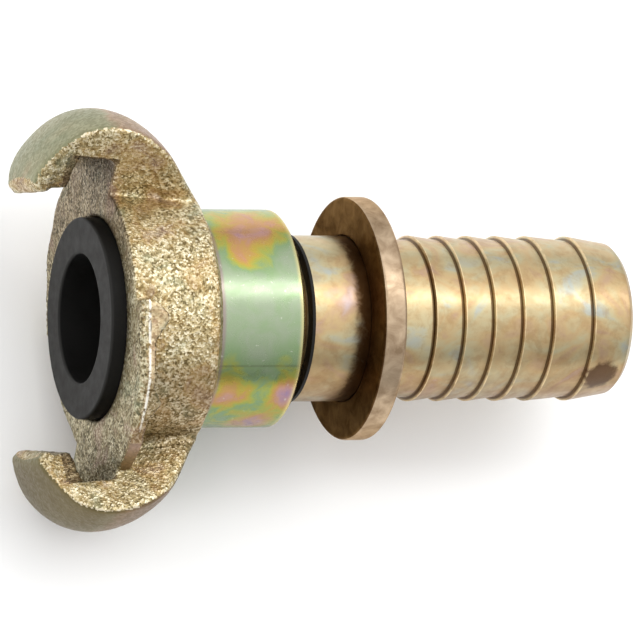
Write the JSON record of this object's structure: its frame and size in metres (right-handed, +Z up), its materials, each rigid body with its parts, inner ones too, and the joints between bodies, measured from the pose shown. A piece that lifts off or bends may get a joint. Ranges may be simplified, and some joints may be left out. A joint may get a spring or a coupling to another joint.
{
  "type": "swivel claw hose coupling",
  "caption": "Swivel claw coupling for compressed air or water hose: cast head with hooked claws, cam lugs and rubber face seal, turning on a barbed hose tail with a safety collar.",
  "frame": {"origin": "centre of the face seal's front, on the coupling's axis", "axes": "+X along the axis from the claws to the hose tail's end; +Z up as the coupling lies on its side; +Y towards the claw that stands higher"},
  "size_m": [0.1026, 0.068, 0.0488],
  "materials": {
    "cast_head": "yellow chromated casting, sandy",
    "turned_tail": "yellow chromated, turned",
    "collar": "yellow chromated, stained at the joint",
    "seal_rubber": "matt black",
    "ring_rubber": "black",
    "washer": "plain",
    "spring_steel": "plain"
  },
  "bodies": {
    "head": {"claw_head": "cast_head", "face_seal": "seal_rubber"},
    "tail": {"hose_tail": "turned_tail", "safety_collar": "collar", "dust_ring": "ring_rubber", "thrust_washer": "washer", "retaining_ring": "spring_steel", "front_o_ring": "ring_rubber", "rear_o_ring": "ring_rubber"}
  },
  "joints": [
    {"name": "swivel", "type": "hinge", "parent": "head", "child": "tail", "pos_m": [0, 0, 0], "axis": [1, 0, 0], "continuous": true}
  ]
}
